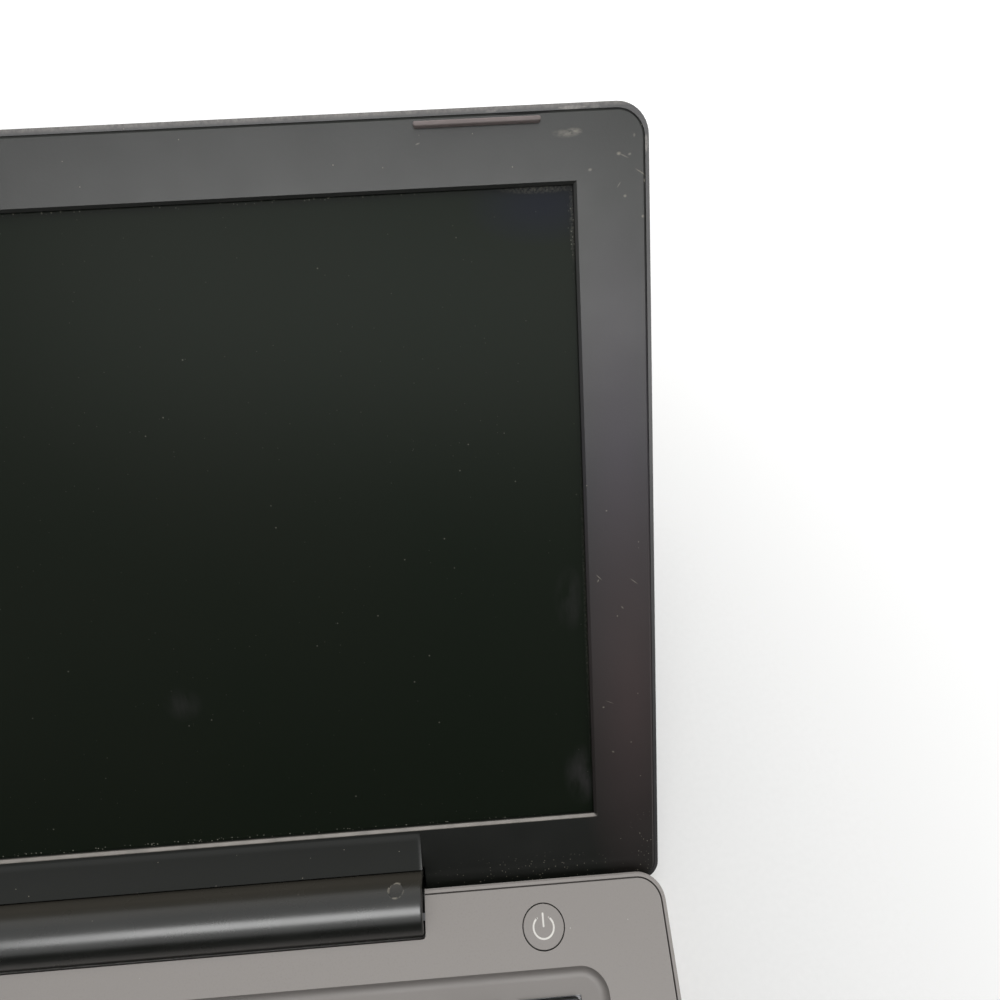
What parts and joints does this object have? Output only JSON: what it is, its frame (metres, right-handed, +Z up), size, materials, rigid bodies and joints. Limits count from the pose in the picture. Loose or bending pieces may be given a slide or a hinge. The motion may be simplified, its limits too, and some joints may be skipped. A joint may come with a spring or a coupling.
{
  "type": "laptop computer",
  "caption": "Small clamshell laptop, lid open on a wide central hinge barrel, with a recessed keyboard, touchpad and round power button.",
  "frame": {"origin": "below the middle of the open machine's box, on the surface that the feet stand on", "axes": "+X along the hinge to the user's right, +Y away from the user, +Z up"},
  "size_m": [0.288, 0.3174, 0.1258],
  "materials": {
    "case_plastic": "fine-textured moulded ABS, warm grey",
    "lid_plastic": "fine-textured moulded ABS, near-black",
    "bezel_plastic": "satin moulded ABS, near-black",
    "key_plastic": "satin moulded keycaps, black",
    "pad_plastic": "smooth satin film, warm grey",
    "screen_surface": "anti-glare polariser, switched off",
    "rubber": "moulded rubber, black",
    "hinge_steel": "stamped and turned steel",
    "plated_steel": "plated sheet steel",
    "screw_steel": "blackened steel",
    "spreader_metal": "rolled sheet",
    "circuit_board": "solder-masked laminate, green",
    "battery_wrap": "black film over the cells",
    "camera_glass": "clear window over a dark lens"
  },
  "bodies": {
    "base": {"bottom_cover": "case_plastic", "deck_cover": "case_plastic", "keyboard_plate": "plated_steel", "touchpad_tray": "plated_steel", "power_switch": "circuit_board", "rubber_feet": "rubber", "cover_screws": "screw_steel", "main_board": "circuit_board", "heat_spreader": "spreader_metal", "radio_card": "circuit_board", "side_board": "circuit_board", "battery_pack": "battery_wrap", "speaker_left": "battery_wrap", "speaker_right": "battery_wrap", "power_inlet": "key_plastic", "video_port": "plated_steel", "usb_port_left": "plated_steel", "usb_port_right": "plated_steel", "headset_socket": "key_plastic", "card_slot": "plated_steel", "hinge_bracket_left": "hinge_steel", "hinge_bracket_right": "hinge_steel", "bracket_screws": "screw_steel"},
    "lid": {"lid_back_cover": "lid_plastic", "screen_bezel": "bezel_plastic", "display_panel": "screen_surface", "camera_module": "circuit_board", "camera_window": "camera_glass", "radio_antennas": "circuit_board", "lid_bumpers": "rubber", "hinge_cover": "bezel_plastic", "hinge_cover_plugs": "bezel_plastic", "hinge_arm_left": "hinge_steel", "hinge_arm_right": "hinge_steel"},
    "function_keys": {"function_keys": "key_plastic"},
    "number_keys": {"number_keys": "key_plastic"},
    "backspace_key": {"backspace_key": "key_plastic"},
    "upper_letter_keys": {"upper_letter_keys": "key_plastic"},
    "home_letter_keys": {"home_letter_keys": "key_plastic"},
    "enter_key": {"enter_key": "key_plastic"},
    "left_shift_key": {"left_shift_key": "key_plastic"},
    "lower_letter_keys": {"lower_letter_keys": "key_plastic"},
    "right_shift_key": {"right_shift_key": "key_plastic"},
    "bottom_row_keys": {"bottom_row_keys": "key_plastic"},
    "space_bar": {"space_bar": "key_plastic"},
    "arrow_left_key": {"arrow_left_key": "key_plastic"},
    "arrow_up_key": {"arrow_up_key": "key_plastic"},
    "arrow_down_key": {"arrow_down_key": "key_plastic"},
    "arrow_right_key": {"arrow_right_key": "key_plastic"},
    "touchpad": {"touchpad": "pad_plastic"},
    "power_button": {"power_button": "case_plastic"}
  },
  "joints": [
    {"name": "lid_hinge", "type": "hinge", "parent": "base", "child": "lid", "pos_m": [0, 0.0195, 0.0125], "axis": [1, 0, 0], "range_deg": [-6, 139]},
    {"name": "function_keys_press", "type": "slide", "parent": "base", "child": "function_keys", "axis": [0, 0, -1], "range_m": [0, 0.0012], "stiffness_N_per_m": 400, "springref_m": -0.0005},
    {"name": "number_keys_press", "type": "slide", "parent": "base", "child": "number_keys", "axis": [0, 0, -1], "range_m": [0, 0.0012], "stiffness_N_per_m": 400, "springref_m": -0.0005},
    {"name": "backspace_key_press", "type": "slide", "parent": "base", "child": "backspace_key", "axis": [0, 0, -1], "range_m": [0, 0.0012], "stiffness_N_per_m": 400, "springref_m": -0.0005},
    {"name": "upper_letter_keys_press", "type": "slide", "parent": "base", "child": "upper_letter_keys", "axis": [0, 0, -1], "range_m": [0, 0.0012], "stiffness_N_per_m": 400, "springref_m": -0.0005},
    {"name": "home_letter_keys_press", "type": "slide", "parent": "base", "child": "home_letter_keys", "axis": [0, 0, -1], "range_m": [0, 0.0012], "stiffness_N_per_m": 400, "springref_m": -0.0005},
    {"name": "enter_key_press", "type": "slide", "parent": "base", "child": "enter_key", "axis": [0, 0, -1], "range_m": [0, 0.0012], "stiffness_N_per_m": 400, "springref_m": -0.0005},
    {"name": "left_shift_key_press", "type": "slide", "parent": "base", "child": "left_shift_key", "axis": [0, 0, -1], "range_m": [0, 0.0012], "stiffness_N_per_m": 400, "springref_m": -0.0005},
    {"name": "lower_letter_keys_press", "type": "slide", "parent": "base", "child": "lower_letter_keys", "axis": [0, 0, -1], "range_m": [0, 0.0012], "stiffness_N_per_m": 400, "springref_m": -0.0005},
    {"name": "right_shift_key_press", "type": "slide", "parent": "base", "child": "right_shift_key", "axis": [0, 0, -1], "range_m": [0, 0.0012], "stiffness_N_per_m": 400, "springref_m": -0.0005},
    {"name": "bottom_row_keys_press", "type": "slide", "parent": "base", "child": "bottom_row_keys", "axis": [0, 0, -1], "range_m": [0, 0.0012], "stiffness_N_per_m": 400, "springref_m": -0.0005},
    {"name": "space_bar_press", "type": "slide", "parent": "base", "child": "space_bar", "axis": [0, 0, -1], "range_m": [0, 0.0012], "stiffness_N_per_m": 400, "springref_m": -0.0005},
    {"name": "arrow_left_key_press", "type": "slide", "parent": "base", "child": "arrow_left_key", "axis": [0, 0, -1], "range_m": [0, 0.0012], "stiffness_N_per_m": 400, "springref_m": -0.0005},
    {"name": "arrow_up_key_press", "type": "slide", "parent": "base", "child": "arrow_up_key", "axis": [0, 0, -1], "range_m": [0, 0.0012], "stiffness_N_per_m": 400, "springref_m": -0.0005},
    {"name": "arrow_down_key_press", "type": "slide", "parent": "base", "child": "arrow_down_key", "axis": [0, 0, -1], "range_m": [0, 0.0012], "stiffness_N_per_m": 400, "springref_m": -0.0005},
    {"name": "arrow_right_key_press", "type": "slide", "parent": "base", "child": "arrow_right_key", "axis": [0, 0, -1], "range_m": [0, 0.0012], "stiffness_N_per_m": 400, "springref_m": -0.0005},
    {"name": "touchpad_click", "type": "hinge", "parent": "base", "child": "touchpad", "pos_m": [0, -0.1105, 0.013], "axis": [1, 0, 0], "range_deg": [0, 0.6], "stiffness_Nm_per_rad": 2.5, "springref_deg": -1.15},
    {"name": "power_button_press", "type": "slide", "parent": "base", "child": "power_button", "axis": [0, 0, -1], "range_m": [0, 0.0005], "stiffness_N_per_m": 800, "springref_m": -0.0005}
  ]
}
